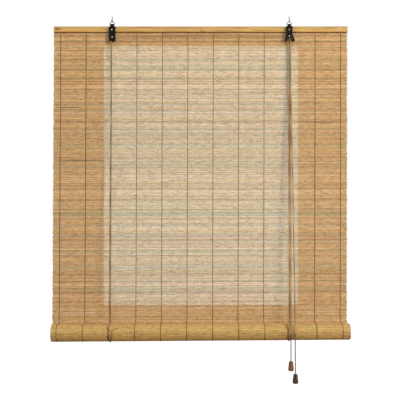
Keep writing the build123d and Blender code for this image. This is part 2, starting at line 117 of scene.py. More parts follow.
def planed_softwood():
    """Bare planed pine or fir: matt, with early and late wood in bands 2 to 3 mm wide."""
    material, tree, shader = start_material("planed_softwood", 0.62)
    low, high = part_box("head_rail_front")
    place = add_node(tree, "TexCoord").outputs["Object"]
    slant = math.radians(4)
    along = add_node(
        tree,
        "Mapping",
        {"Rotation": (0, slant, 0), "Scale": (1 / (70 * MM), 1 / (4 * MM), 1 / (2.6 * MM))},
        {"Vector": place},
    )
    bands = add_node(
        tree,
        "TexNoise",
        {"Scale": 1.0, "Detail": 4.0, "Roughness": 0.55, "Distortion": 0.4},
        {"Vector": along.outputs["Vector"]},
    )
    wood = add_node(
        tree,
        "ValToRGB",
        {
            "stops": [
                (0.3, linear("a87f3e")),
                (0.48, linear("c79f58")),
                (0.7, linear("d9b56c")),
            ]
        },
        {"Fac": bands.outputs["Fac"]},
    )
    # Share of the rail's height, 0 at its lower edge and 1 at its top
    parts = add_node(tree, "SeparateXYZ", {}, {"Vector": place})
    share = add_node(
        tree,
        "MapRange",
        {"From Min": low.z, "From Max": high.z},
        {"Value": parts.outputs["Z"]},
    )
    edges = add_node(
        tree,
        "ValToRGB",
        {
            "stops": [
                (0.0, linear("8a6a3f")),
                (0.14, linear("ffffff")),
                (0.82, linear("ffffff")),
                (1.0, linear("97905c")),
            ]
        },
        {"Fac": share.outputs["Result"]},
    )
    toned = add_node(
        tree,
        "Mix",
        {"data_type": "RGBA", "blend_type": "MULTIPLY", 0: 1.0},
        {6: wood.outputs["Color"], 7: edges.outputs["Color"]},
    )
    colour = toned.outputs[2]
    ragged = add_node(
        tree, "TexNoise", {"Scale": 1 / (6 * MM), "Detail": 3.0}, {"Vector": place}
    )
    smudges = (
        ((-488 * MM, low.y, high.z - 9 * MM), (11 * MM, 5 * MM), "6f4a2a", 0.75),
        ((6 * MM, low.y, low.z + 3 * MM), (9 * MM, 3 * MM), "7a5430", 0.7),
        ((473 * MM, low.y, high.z - 9 * MM), (7 * MM, 5 * MM), "e0b49a", 0.7),
    )
    for centre, (half_x, half_z), stain, strength in smudges:
        nearness = add_node(
            tree,
            "Mapping",
            {
                "vector_type": "TEXTURE",
                "Location": centre,
                "Scale": (half_x, 40 * MM, half_z),
            },
            {"Vector": place},
        )
        away = add_node(
            tree, "VectorMath", {"operation": "LENGTH"}, {0: nearness.outputs["Vector"]}
        )
        uneven = add_node(
            tree,
            "Math",
            {"operation": "MULTIPLY_ADD", 1: 1.2, 2: -0.6},
            {0: ragged.outputs["Fac"]},
        )
        edge = add_node(
            tree,
            "Math",
            {"operation": "ADD"},
            {0: away.outputs["Value"], 1: uneven.outputs["Value"]},
        )
        cover = add_node(
            tree,
            "MapRange",
            {"From Min": 0.5, "From Max": 1.2, "To Min": strength, "To Max": 0.0},
            {"Value": edge.outputs["Value"]},
        )
        stained = add_node(
            tree,
            "Mix",
            {"data_type": "RGBA", 7: linear(stain)},
            {0: cover.outputs["Result"], 6: colour},
        )
        colour = stained.outputs[2]
    tree.links.new(colour, shader.inputs["Base Color"])
    relief = add_node(
        tree, "Bump", {"Distance": 0.12 * MM, "Strength": 0.6}, {"Height": bands.outputs["Fac"]}
    )
    tree.links.new(relief.outputs["Normal"], shader.inputs["Normal"])
    return material


softwood = planed_softwood()
dress(softwood, "head_rail_front", "head_rail_back", "core_batten_front", "core_batten_back")


# Nails: round-head steel nails through both battens and the mat, three in the rail and
# three in the core of the roll. The drawn steel has dulled.

steel, tree, shader = start_material("dull_steel", 0.48, 1.0, "8d8478")
blotches = add_node(tree, "TexNoise", {"Scale": 1 / (1.5 * MM), "Detail": 3.0})
tree.links.new(add_node(tree, "TexCoord").outputs["Object"], blotches.inputs["Vector"])
tarnish = add_node(
    tree,
    "ValToRGB",
    {"stops": [(0.35, linear("6d6459")), (0.7, linear("a39a8c"))]},
    {"Fac": blotches.outputs["Fac"]},
)
tree.links.new(tarnish.outputs["Color"], shader.inputs["Base Color"])
dress(steel, "rail_nails", "core_nails", "screw_spacers", "cord_eyes")
dress(steel, "lock_anvil_pin", "lock_pin")


# Hanging mat: some 340 slats, split from bamboo cane and laid edge to edge. Each was
# scraped to about 2.9 by 1.4 mm, cut off roughly and left bare, so no two are alike.

SLAT_PITCH = 3.0 * MM
SLAT_WIDTH = 2.9 * MM
SLAT_THICK = 1.4 * MM
SLAT_EASE = 0.42 * MM  # bevel along a slat's long edges
# Least and most that a slat's ends stand in or out, at the left and at the right
LEFT_RAGGED = (-1.9, 1.2)
RIGHT_RAGGED = (-2.2, 1.2)
MOST_BOW = 0.09  # mm
MOST_TILT = 0.12  # slope
random.seed(7)

rail_low, rail_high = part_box("head_rail_front")
mat_low, mat_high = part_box("mat_slats")
roll_low, roll_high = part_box("mat_roll")
spin = next(j for j in frame["joints"] if j["name"] == "roll_spin")
roll_axis = Vector(spin["pos_m"])
half_width = (rail_high.x - rail_low.x) / 2
mat_y = (mat_low.y + mat_high.y) / 2
mat_drop = rail_low.z - roll_axis.z


# How the blind hangs off true, in mm at its middle and more or less at its sides
DROOP, DROOP_ASIDE = 0.5, 2.7
LEAN, LEAN_ASIDE = 3.6, 2.4


def droop(x):
    """How far the roll's axis is from level at x: it hangs lower at the left."""
    return (DROOP + DROOP_ASIDE * x / half_width) * MM


def lean(across):
    """How far left the mat's foot hangs, from -1 at the mat's left side to 1 at its right."""
    return (LEAN - LEAN_ASIDE * across) * MM


def mat_place(x, y, z):
    """Where a point of the straight mat hangs: it leans left and droops with the roll."""
    fallen = max(0.0, min(1.0, (rail_low.z - z) / mat_drop))
    return Vector((x - lean(x / half_width) * fallen, y, z + droop(x) * fallen))


def ease(shape, edges, offset):
    """Cuts one narrow flat along each of these edges."""
    bmesh.ops.bevel(
        shape,
        geom=edges,
        offset=offset,
        offset_type="OFFSET",
        affect="EDGES",
        segments=1,
        profile=0.5,
        material=-1,
    )


def slat_blank(cuts):
    """One slat of unit size along X, with its long edges eased and cuts across it."""
    blank = bmesh.new()
    bmesh.ops.create_cube(blank, size=1.0)
    long_edges = [e for e in blank.edges if abs((e.verts[0].co - e.verts[1].co).x) > 0.5]
    bmesh.ops.scale(blank, vec=(1.0, SLAT_THICK, SLAT_WIDTH), verts=blank.verts)
    ease(blank, long_edges, SLAT_EASE)
    for cut in cuts:
        bmesh.ops.bisect_plane(
            blank,
            geom=blank.verts[:] + blank.edges[:] + blank.faces[:],
            plane_co=(cut, 0, 0),
            plane_no=(1, 0, 0),
        )
    mesh = bpy.data.meshes.new("slat_blank")
    blank.to_mesh(mesh)
    blank.free()
    return mesh


def add_copy(shape, blank):
    """Adds a copy of a blank to a shape and returns the copy's vertices."""
    known = len(shape.verts)
    shape.from_mesh(blank)
    shape.verts.ensure_lookup_table()
    return shape.verts[known:]


def place_piece(name, mesh, body):
    """Sets a mesh in the scene as a piece on a body, or on none if it will be blended."""
    piece = bpy.data.objects.new(name, mesh)
    bpy.context.scene.collection.objects.link(piece)
    if body:
        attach(piece, body)
    return piece


def finish_piece(shape, name, material, body, smooth=False):
    """Turns a bmesh into a piece of one material."""
    mesh = bpy.data.meshes.new(name)
    shape.to_mesh(mesh)
    shape.free()
    mesh.materials.append(material)
    if smooth:
        mesh.shade_smooth()
    return place_piece(name, mesh, body)


def write_tones(piece, counts):
    """Gives every vertex its slat's own random tone, from 0 to 1."""
    tones = [tone for count in counts for tone in [random.random()] * count]
    attribute = piece.data.attributes.new("slat_tone", "FLOAT", "POINT")
    attribute.data.foreach_set("value", tones)


def split_bamboo(name, stops, marks=()):
    """Split, scraped bamboo: satin, with long fibres about 0.5 mm apart."""
    material, tree, shader = start_material(name, 0.58)
    place = add_node(tree, "TexCoord").outputs["Object"]
    tone = add_node(tree, "Attribute", {"attribute_name": "slat_tone"}).outputs["Fac"]
    parts = add_node(tree, "SeparateXYZ", {}, {"Vector": place})
    # A slat's tone also picks its own strip of noise, far from every other slat's
    own = add_node(tree, "Math", {"operation": "MULTIPLY", 1: 400.0}, {0: tone})
    length = add_node(
        tree, "Math", {"operation": "MULTIPLY", 1: 1 / (22 * MM)}, {0: parts.outputs["X"]}
    )
    strip = add_node(
        tree, "CombineXYZ", {}, {"X": length.outputs["Value"], "Y": own.outputs["Value"]}
    )
    streaks = add_node(
        tree,
        "TexNoise",
        {"Scale": 1.0, "Detail": 3.0, "Roughness": 0.75},
        {"Vector": strip.outputs["Vector"]},
    )
    fibre_lay = add_node(
        tree,
        "Mapping",
        {"Scale": (1 / (14 * MM), 1 / (0.5 * MM), 1 / (0.5 * MM))},
        {"Vector": place},
    )
    fibres = add_node(
        tree,
        "TexNoise",
        {"Scale": 1.0, "Detail": 2.0},
        {"Vector": fibre_lay.outputs["Vector"]},
    )
    base = add_node(tree, "ValToRGB", {"stops": stops}, {"Fac": tone})
    shade = add_node(
        tree,
        "ValToRGB",
        {
            "stops": [
                (0.34, (0.72, 0.62, 0.56, 1.0)),
                (0.5, (0.98, 0.97, 0.96, 1.0)),
                (0.66, (1.16, 1.17, 1.2, 1.0)),
            ]
        },
        {"Fac": streaks.outputs["Fac"]},
    )
    streaked = add_node(
        tree,
        "Mix",
        {"data_type": "RGBA", "blend_type": "MULTIPLY", 0: 1.0},
        {6: base.outputs["Color"], 7: shade.outputs["Color"]},
    )
    fine = add_node(
        tree,
        "ValToRGB",
        {"stops": [(0.3, grey(0.84)), (0.65, grey(1.05))]},
        {"Fac": fibres.outputs["Fac"]},
    )
    grained = add_node(
        tree,
        "Mix",
        {"data_type": "RGBA", "blend_type": "MULTIPLY", 0: 1.0},
        {6: streaked.outputs[2], 7: fine.outputs["Color"]},
    )
    # Joints of the cane: a short brown band, a few on each slat
    joint_length = add_node(
        tree, "Math", {"operation": "MULTIPLY", 1: 1 / (9 * MM)}, {0: parts.outputs["X"]}
    )
    joint_strip = add_node(
        tree, "CombineXYZ", {}, {"X": joint_length.outputs["Value"], "Y": own.outputs["Value"]}
    )
    joints = add_node(
        tree,
        "TexNoise",
        {"Scale": 1.0, "Detail": 0.0},
        {"Vector": joint_strip.outputs["Vector"]},
    )
    band = add_node(
        tree,
        "MapRange",
        {"From Min": 0.72, "From Max": 0.8, "To Min": 0.0, "To Max": 0.55},
        {"Value": joints.outputs["Fac"]},
    )
    jointed = add_node(
        tree,
        "Mix",
        {"data_type": "RGBA", 7: linear("7d5a35")},
        {0: band.outputs["Result"], 6: grained.outputs[2]},
    )
    colour = jointed.outputs[2]
    for centre, (half_x, half_z) in marks:
        near = add_node(
            tree,
            "Mapping",
            {"vector_type": "TEXTURE", "Location": centre, "Scale": (half_x, 1.0, half_z)},
            {"Vector": place},
        )
        away = add_node(tree, "VectorMath", {"operation": "LENGTH"}, {0: near.outputs["Vector"]})
        cover = add_node(
            tree,
            "MapRange",
            {"From Min": 0.6, "From Max": 1.2, "To Min": 0.85, "To Max": 0.0},
            {"Value": away.outputs["Value"]},
        )
        marked = add_node(
            tree,
            "Mix",
            {"data_type": "RGBA", 7: linear("3a2a1c")},
            {0: cover.outputs["Result"], 6: colour},
        )
        colour = marked.outputs[2]
    # Where a cord has pressed the slats in, painted shade and some soiling darken them brown
    crease_shade_and_soil_fac = add_node(tree, "Attribute", {"attribute_name": "slat_rub"}).outputs["Fac"]
    crease_shaded_bamboo = add_node(
        tree,
        "Mix",
        {"data_type": "RGBA", 7: linear("5a3a1e")},
        {0: crease_shade_and_soil_fac, 6: colour},
    )
    tree.links.new(crease_shaded_bamboo.outputs[2], shader.inputs["Base Color"])
    relief = add_node(
        tree, "Bump", {"Distance": 0.1 * MM, "Strength": 0.7}, {"Height": fibres.outputs["Fac"]}
    )
    tree.links.new(relief.outputs["Normal"], shader.inputs["Normal"])
    return material


hanging_bamboo = split_bamboo(
    "split_bamboo",
    [
        (0.0, linear("bb8f5d")),
        (0.25, linear("d6ac71")),
        (0.5, linear("e3be86")),
        (0.75, linear("cfab76")),
        (1.0, linear("b8a46e")),
    ],
    [
        ((-319 * MM, mat_y, -124 * MM), (5.5 * MM, 0.9 * MM)),
        ((292 * MM, mat_y, -104 * MM), (1.6 * MM, 1.4 * MM)),
        ((-415 * MM, mat_y, -481 * MM), (95 * MM, 1.5 * MM)),
        ((-455 * MM, mat_y, -300 * MM), (46 * MM, 1.2 * MM)),
        ((408 * MM, mat_y, -352 * MM), (70 * MM, 1.1 * MM)),
    ],
)
plain_blank = slat_blank([n / 8 - 0.5 for n in range(1, 8)])
slat_count = round((mat_high.z - mat_low.z - SLAT_WIDTH) / SLAT_PITCH) + 1
lowest_slat = mat_low.z + (mat_high.z - mat_low.z - (slat_count - 1) * SLAT_PITCH) / 2

mat = bmesh.new()
sizes = []
for n in range(slat_count):
    z = lowest_slat + n * SLAT_PITCH
    fresh = add_copy(mat, plain_blank)
    sizes.append(len(fresh))
    width = random.uniform(0.95, 1.03)
    thick = random.uniform(0.9, 1.0)
    tilt = random.uniform(-MOST_TILT, MOST_TILT)
    left = -half_width + random.uniform(*LEFT_RAGGED) * MM
    right = half_width + random.uniform(*RIGHT_RAGGED) * MM
    waver = [random.uniform(-MOST_BOW, MOST_BOW) * MM for _ in range(2)]
    for v in fresh:
        x = left + (v.co.x + 0.5) * (right - left)
        bow = waver[0] * math.sin(9 * x + n) + waver[1] * math.sin(23 * x + 2 * n)
        dy, dz = v.co.y * thick, v.co.z * width
        v.co = mat_place(
            x,
            mat_y + dy - dz * tilt + 0.5 * bow,
            z + dz + dy * tilt + (bow if z < rail_low.z - SLAT_PITCH else 0.0),
        )
mat_piece = finish_piece(mat, "hanging_slats", hanging_bamboo, "head")
write_tones(mat_piece, sizes)
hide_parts("mat_slats")
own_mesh(mat_piece)


# Warps: twelve pairs of brown cotton threads, one in front and one behind, crossed
# between the slats by the loom. Each stitch lies over one slat, a little aslant.

WARPS = 12
WARP_WIDTH = 2.3 * MM
STITCH_THICK = 0.46 * MM
STITCH_OUT = 0.22 * MM  # from a slat's face to the middle of its stitch
STITCH_SLANT = 0.14
warp_low, warp_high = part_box("mat_warps")
first_warp = warp_low.x + WARP_WIDTH / 2
warp_pitch = (warp_high.x - warp_low.x - WARP_WIDTH) / (WARPS - 1)

thread, tree, shader = start_material("spun_cotton", 0.85)
thread_place = add_node(tree, "TexCoord").outputs["Object"]
ply = add_node(
    tree,
    "TexNoise",
    {"Scale": 1 / (0.8 * MM), "Detail": 2.0},
    {"Vector": thread_place},
)
thread_colour = add_node(
    tree,
    "ValToRGB",
    {"stops": [(0.3, linear("593a1c")), (0.7, linear("8d683a"))]},
    {"Fac": ply.outputs["Fac"]},
)
tree.links.new(thread_colour.outputs["Color"], shader.inputs["Base Color"])
fuzz = add_node(
    tree, "Bump", {"Distance": 0.15 * MM, "Strength": 0.8}, {"Height": ply.outputs["Fac"]}
)
tree.links.new(fuzz.outputs["Normal"], shader.inputs["Normal"])

stitch = bmesh.new()
bmesh.ops.create_cube(stitch, size=1.0)
bmesh.ops.scale(stitch, vec=(WARP_WIDTH, STITCH_THICK, SLAT_PITCH * 1.04), verts=stitch.verts)
stitch_ends = [e for e in stitch.edges if abs((e.verts[0].co - e.verts[1].co).x) > MM]
ease(stitch, stitch_ends, 0.16 * MM)
stitch_blank = bpy.data.meshes.new("stitch_blank")
stitch.to_mesh(stitch_blank)
stitch.free()

warps = bmesh.new()
for side in (-1, 1):
    slant = -side * STITCH_SLANT
    warp_y = mat_y + side * (SLAT_THICK / 2 + STITCH_OUT)
    for w in range(WARPS):
        for n in range(slat_count):
            z = lowest_slat + n * SLAT_PITCH
            if not warp_low.z + SLAT_PITCH / 2 < z < rail_low.z - 2 * MM:
                continue
            x = first_warp + w * warp_pitch + random.uniform(-0.12, 0.12) * MM
            for v in add_copy(warps, stitch_blank):
                v.co = mat_place(x + v.co.x + slant * v.co.z, warp_y + v.co.y, z + v.co.z)
warp_piece = finish_piece(warps, "warp_stitches", thread, "head")
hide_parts("mat_warps")
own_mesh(warp_piece)


# Roll: the lower half of the same mat, rolled forwards and up round two core battens.
# It was rolled by hand, so it is thicker at the left, and the two cords that carry it
# press into its outer turn and part its slats.

LAYER_PITCH = 2.3 * MM
TURNS = 6.5
outer_r = (roll_high.y - roll_axis.y) - 0.9 * MM  # middle of the outer turn


def middle(node):
    low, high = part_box(node)
    return (low + high) / 2


left_cord_x = middle("lift_cord_left_bend").x
right_cord_x = middle("lift_cord_right_bend").x
# Each cord's place, where its slats part beneath it, how far the parting climbs beside
# it, and its reach to the left and to the right
CREASES = (
    (left_cord_x, math.radians(197), math.radians(36), 14 * MM, 37 * MM),
    (right_cord_x, math.radians(203), math.radians(62), 26 * MM, 9 * MM),
)

rolled_bamboo = split_bamboo(
    "rolled_split_bamboo",
    [
        (0.0, linear("b08852")),
        (0.3, linear("d3ab68")),
        (0.6, linear("dfba74")),
        (1.0, linear("bda566")),
    ],
)


def parting(crease, x, angle):
    """Where a place is by a crease: how far along from its cord, the share of its reach
    that this is, the angle up to the parting there, and the angle of the parting's foot."""
    cord_x, foot, climb, left_reach, right_reach = crease
    away = x - cord_x
    beside = min(1.0, abs(away) / (right_reach if away > 0 else left_reach))
    return away, beside, foot + climb * beside - angle, foot


TAPER, TAPER_ASIDE = -0.5, -1.0  # mm added at the roll's middle, and more towards a side
PRESS_DEPTH = 4.6 * MM
PRESS_TURNS = 3  # turns of the roll that the press dies away over
UNDERSIDE = math.pi / 2  # the roll's lowest line; angles start at its back
GROOVE_HALF = 7.5 * MM
LEDGE_FADE = 0.6
# In radians round the roll
FREE_BACK = 0.5
EDGE_SOFT = 0.035
LEDGE_DEEP = 0.22
GAPE = 0.07


def press(x, angle):
    """How hard the nearer cord presses the roll there, 0 to 1. It sinks into a groove
    from beneath the roll up to the parting, a Y-shaped ledge that fades at its tips."""
    hardest = 0.0
    for crease in CREASES:
        away, beside, below, foot = parting(crease, x, angle)
        edge = 1 / (1 + math.exp(max(-30.0, min(30.0, -below / EDGE_SOFT))))
        sunk = min(1.0, max(0.0, (angle - UNDERSIDE) / (foot - UNDERSIDE)))
        groove = sunk * math.exp(-((away / GROOVE_HALF) ** 2))
        ledge = (1 - beside) ** LEDGE_FADE * math.exp(-max(0.0, below) / LEDGE_DEEP)
        held = min(1.0, max(0.0, angle - FREE_BACK))
        hardest = max(hardest, edge * max(groove, ledge) * held)
    return hardest


def crease_shade_and_soil(x, angle):
    """Painted shade and soiling on the slats there: in the grooves, darkest in a line along
    their ledges.
    """
    line_at, line_half, shade_starts = 0.04, 0.07, 1.2
    brown = 0.0
    for crease in CREASES:
        away, beside, below, _ = parting(crease, x, angle)
        line = math.exp(-(((below - line_at) / line_half) ** 2)) * (1 - beside) ** 0.5
        groove = math.exp(-((away / (8 * MM)) ** 4)) if below > 0 and angle > shade_starts else 0.0
        brown = max(brown, 0.85 * line, 0.6 * groove)
    return brown


def roll_place(x, angle, out):
    """A point on the roll: angle from its back, down and round the front, and out from
    the middle of the turn that the angle is on."""
    thicker = (TAPER + TAPER_ASIDE * x / half_width) * MM
    turn = angle / (2 * math.pi)
    pressed = press(x, angle % (2 * math.pi)) * max(0.0, 1 - turn / PRESS_TURNS)
    if turn < 1:
        angle -= GAPE * pressed
    r = outer_r + thicker * (1 - turn / TURNS) - LAYER_PITCH * turn + out - PRESS_DEPTH * pressed
    return Vector(
        (x, roll_axis.y + r * math.cos(angle), roll_axis.z + droop(x) - r * math.sin(angle))
    )


# cuts across an outer slat, as shares of its length: close together by each cord
press_cuts = [-0.44, -0.18, 0.0, 0.18, 0.44]
for cord_x in (left_cord_x, right_cord_x):
    for step in (-26, -19, -14, -10, -7, -4, 0, 4, 7, 10, 14, 19, 26, 37):
        press_cuts.append((cord_x + step * MM) / (2 * half_width))
outer_blank = slat_blank(sorted(press_cuts))
inner_blank = slat_blank([-0.25, 0.0, 0.25])

STEPPED_FROM = 3.4  # radians: above this the front's slats step in at the right end
STEP_IN = 4.5 * MM
roll = bmesh.new()
sizes = []
crease_shade_and_soil_values = []
angle = SLAT_PITCH / 2 / outer_r
while angle < TURNS * 2 * math.pi:
    fresh = add_copy(roll, outer_blank if angle < 2.2 * math.pi else inner_blank)
    sizes.append(len(fresh))
    r = outer_r - LAYER_PITCH * angle / (2 * math.pi)
    width = random.uniform(0.94, 1.02)
    left = roll_low.x + random.uniform(-0.6, 1.8) * MM
    right = roll_high.x - random.uniform(-0.3, 2.4) * MM
    if STEPPED_FROM < angle < 2 * math.pi:
        right -= STEP_IN * math.sin((angle - STEPPED_FROM) * 1.09)
    proud = random.uniform(-0.12, 0.16) * MM
    for v in fresh:
        x = left + (v.co.x + 0.5) * (right - left)
        at = angle + v.co.z * width / r
        v.co = roll_place(x, at, v.co.y + proud)
        # Painted shade and soiling where the cords crease the outer turns
        crease_shade_and_soil_values.append(crease_shade_and_soil(x, at) if at < 2 * math.pi else 0.0)
    angle += SLAT_PITCH / r
roll_piece = finish_piece(roll, "rolled_slats", rolled_bamboo, "roll")
write_tones(roll_piece, sizes)
# The bamboo's colour reads this painted crease shade and soiling
roll_piece.data.attributes.new("slat_rub", "FLOAT", "POINT").data.foreach_set("value", crease_shade_and_soil_values)
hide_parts("mat_roll")

roll_warps = bmesh.new()
for w in range(WARPS):
    angle = SLAT_PITCH / 2 / outer_r
    while angle < 2.15 * math.pi:
        x = first_warp + w * warp_pitch - lean(2 * w / (WARPS - 1) - 1)
        r = outer_r - LAYER_PITCH * angle / (2 * math.pi)
        for v in add_copy(roll_warps, stitch_blank):
            out = SLAT_THICK / 2 + STITCH_OUT - v.co.y
            v.co = roll_place(x + v.co.x + STITCH_SLANT * v.co.z, angle + v.co.z / r, out)
        angle += SLAT_PITCH / r
bmesh.ops.recalc_face_normals(roll_warps, faces=roll_warps.faces)
finish_piece(roll_warps, "rolled_warp_stitches", thread, "roll")


# Screw hooks and rings: bent from soft steel wire and dipped in black lacquer. The
# hooks' rolled threads are bright where the lacquer has been screwed off.

lacquer, tree, shader = start_material("black_lacquered_wire", 0.4)
wear = add_node(tree, "TexNoise", {"Scale": 1 / (2.5 * MM), "Detail": 4.0})
tree.links.new(add_node(tree, "TexCoord").outputs["Object"], wear.inputs["Vector"])
coat = add_node(
    tree,
    "ValToRGB",
    {"stops": [(0.55, linear("141312")), (0.75, linear("3a332c"))]},
    {"Fac": wear.outputs["Fac"]},
)
tree.links.new(coat.outputs["Color"], shader.inputs["Base Color"])
orange_peel = add_node(
    tree, "Bump", {"Distance": 0.05 * MM, "Strength": 0.5}, {"Height": wear.outputs["Fac"]}
)
tree.links.new(orange_peel.outputs["Normal"], shader.inputs["Normal"])
dress(lacquer, "left_screw_hook", "right_screw_hook", "left_hanger_ring", "right_hanger_ring")

THREAD_PITCH = 1.1 * MM
THREAD_TURNS = 5
STEPS_A_TURN = 20
for side in ("left", "right"):
    low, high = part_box(f"{side}_hanger_ring")
    hook_x = (low.x + high.x) / 2
    ridge = bmesh.new()
    corners = [
        ridge.verts.new((hook_x + r * MM, 0, z * MM))
        for r, z in ((1.12, 0.15), (1.55, 0.5), (1.12, 0.85))
    ]
    profile = ridge.faces.new(corners)
    bmesh.ops.spin(
        ridge,
        geom=[profile, *profile.edges, *profile.verts],
        cent=(hook_x, 0, 0),
        axis=(0, 0, 1),
        dvec=(0, 0, THREAD_PITCH / STEPS_A_TURN),
        angle=2 * math.pi * THREAD_TURNS,
        steps=THREAD_TURNS * STEPS_A_TURN,
        use_merge=False,
    )
    bmesh.ops.recalc_face_normals(ridge, faces=ridge.faces)
    finish_piece(ridge, f"{side}_hook_thread", steel, "head")


# Pulley housings: strips of 0.9 mm steel sheet, blanked, folded over the ring's bar and
# dipped in the same black lacquer, which has rubbed through to brown in patches.

sheet, tree, shader = start_material("black_lacquered_sheet", 0.5)
shader.inputs["Specular IOR Level"].default_value = 0.15
sheet_place = add_node(tree, "TexCoord").outputs["Object"]
scuffs = add_node(
    tree,
    "TexNoise",
    {"Scale": 1 / (5 * MM), "Detail": 5.0, "Roughness": 0.7},
    {"Vector": sheet_place},
)
skin = add_node(
    tree,
    "ValToRGB",
    {"stops": [(0.55, linear("0b0a09")), (0.68, linear("1c1713")), (0.8, linear("4a3b2c"))]},
    {"Fac": scuffs.outputs["Fac"]},
)
tree.links.new(skin.outputs["Color"], shader.inputs["Base Color"])
dulled = add_node(
    tree,
    "MapRange",
    {"To Min": 0.4, "To Max": 0.7},
    {"Value": scuffs.outputs["Fac"]},
)
tree.links.new(dulled.outputs["Result"], shader.inputs["Roughness"])
dress(sheet, "left_pulley_housing", "right_lock_housing")


# Rivets, screws, sheaves and lock roller: plated steel rivets and screws, zinc sheaves
# cast in a die and turned in the grooves, and a knurled brass roller.

plating, tree, shader = start_material("nickel_plate", 0.16, 1.0, "d2cfc8")
smears = add_node(tree, "TexNoise", {"Scale": 1 / (1.2 * MM), "Detail": 2.0})
tree.links.new(add_node(tree, "TexCoord").outputs["Object"], smears.inputs["Vector"])
smear_dull = add_node(
    tree, "MapRange", {"To Min": 0.1, "To Max": 0.3}, {"Value": smears.outputs["Fac"]}
)
tree.links.new(smear_dull.outputs["Result"], shader.inputs["Roughness"])
dress(plating, "left_axle_rivet", "right_axle_rivet", "housing_screws")

zinc, tree, shader = start_material("die_cast_zinc", 0.42, 1.0, "a5a29b")
grit = add_node(tree, "TexNoise", {"Scale": 1 / (0.6 * MM), "Detail": 3.0})
tree.links.new(add_node(tree, "TexCoord").outputs["Object"], grit.inputs["Vector"])
cast_skin = add_node(
    tree, "Bump", {"Distance": 0.04 * MM, "Strength": 0.6}, {"Height": grit.outputs["Fac"]}
)
tree.links.new(cast_skin.outputs["Normal"], shader.inputs["Normal"])
dress(zinc, "left_sheave", "right_sheave")

brass, tree, shader = start_material("knurled_brass", 0.36, 1.0, "b8924c")
worn = add_node(tree, "TexNoise", {"Scale": 1 / (1.0 * MM), "Detail": 3.0})
tree.links.new(add_node(tree, "TexCoord").outputs["Object"], worn.inputs["Vector"])
tone = add_node(
    tree,
    "ValToRGB",
    {"stops": [(0.3, linear("8c6a32")), (0.7, linear("c9a65e"))]},
    {"Fac": worn.outputs["Fac"]},
)
tree.links.new(tone.outputs["Color"], shader.inputs["Base Color"])
dress(brass, "lock_roller")


# Lift cords: two lengths of 3.4 mm brown cotton braid. Each is knotted on an eye behind
# the rail, runs down behind the mat, under the roll, up in front and over a sheave. The
# left one crosses to the right sheave, and both leave through the lock.

CORD_D = 3.4 * MM
BRAID_PITCH = 2.6 * MM
CORD_CLEAR = 0.2 * MM  # between a cord and the slats it lies on
STRANDS = 4  # of each hand round the braid


def braided_cotton(name, furrow, flank, ridge):
    """Cotton braid: strands of both hands cross, with painted shade between them and painted
    light on their crowns.
    """
    material, tree, shader = start_material(name, 0.88)
    weave = add_node(tree, "UVMap", {"uv_map": "UVMap"})
    strand = add_node(tree, "SeparateXYZ", {}, {"Vector": weave.outputs["UV"]})
    crossings = []
    for hand in (1, -1):
        turned = add_node(
            tree,
            "Math",
            {"operation": "MULTIPLY_ADD", 1: STRANDS * hand},
            {0: strand.outputs["X"], 2: strand.outputs["Y"]},
        )
        ridge_at = add_node(
            tree, "Math", {"operation": "MULTIPLY", 1: 2 * math.pi}, {0: turned.outputs["Value"]}
        )
        swell = add_node(tree, "Math", {"operation": "SINE"}, {0: ridge_at.outputs["Value"]})
        crossings.append(swell.outputs["Value"])
    over = add_node(
        tree, "Math", {"operation": "MULTIPLY"}, {0: crossings[0], 1: crossings[1]}
    )
    lay = add_node(
        tree, "MapRange", {"From Min": -1.0, "From Max": 1.0}, {"Value": over.outputs["Value"]}
    )
    # Painted shade in the furrows between strands and painted light on their crowns
    yarn = add_node(
        tree,
        "ValToRGB",
        {"stops": [(0.0, linear(furrow)), (0.5, linear(flank)), (1.0, linear(ridge))]},
        {"Fac": lay.outputs["Result"]},
    )
    tree.links.new(yarn.outputs["Color"], shader.inputs["Base Color"])
    braid_relief = add_node(
        tree, "Bump", {"Distance": 0.3 * MM, "Strength": 0.9}, {"Height": lay.outputs["Result"]}
    )
    tree.links.new(braid_relief.outputs["Normal"], shader.inputs["Normal"])
    return material


braid = braided_cotton("cotton_braid", "664b2b", "ab8857", "d2b180")
handled_braid = braided_cotton("handled_cotton_braid", "3f3021", "67543b", "8b7453")


def lay_cord(name, points, body, per_run, material=braid):
    """A braided cord along a smooth line guided by points, with so many steps from one
    point to the next. Returns the cord and its line."""
    guide = bpy.data.curves.new(name + "_line", "CURVE")
    guide.dimensions = "3D"
    spline = guide.splines.new("NURBS")
    spline.points.add(len(points) - 1)
    for control, point in zip(spline.points, points):
        control.co = (*point, 1.0)
    spline.order_u = 3
    spline.use_endpoint_u = True
    spline.resolution_u = per_run
    guide.resolution_u = per_run
    holder = bpy.data.objects.new(name + "_line", guide)
    bpy.context.scene.collection.objects.link(holder)
    line = bpy.data.meshes.new_from_object(holder)
    path = [tuple(v.co) for v in line.vertices]
    long = sum((Vector(a) - Vector(b)).length for a, b in zip(path, path[1:]))
    guide.bevel_depth = CORD_D / 2
    guide.bevel_resolution = 3
    guide.use_fill_caps = True
    mesh = bpy.data.meshes.new_from_object(holder)
    bpy.data.objects.remove(holder)
    bpy.data.curves.remove(guide)
    for corner in mesh.uv_layers["UVMap"].data:
        turned, along = corner.uv
        corner.uv = (turned, along * long / BRAID_PITCH)
    mesh.name = name
    mesh.materials.clear()
    mesh.materials.append(material)
    mesh.shade_smooth()
    return place_piece(name, mesh, body), path


def around(x, z, y, radius, first, last, steps):
    """Guide points that take a cord round a circle, from one degree to another."""
    turn = math.radians(last - first) / steps
    reach = radius / math.cos(turn / 2)
    at = [math.radians(first)] + [
        math.radians(first) + turn * (n + 0.5) for n in range(steps)
    ] + [math.radians(last)]
    sizes = [radius] + [reach] * steps + [radius]
    return [Vector((x + r * math.cos(a), y, z + r * math.sin(a))) for a, r in zip(at, sizes)]


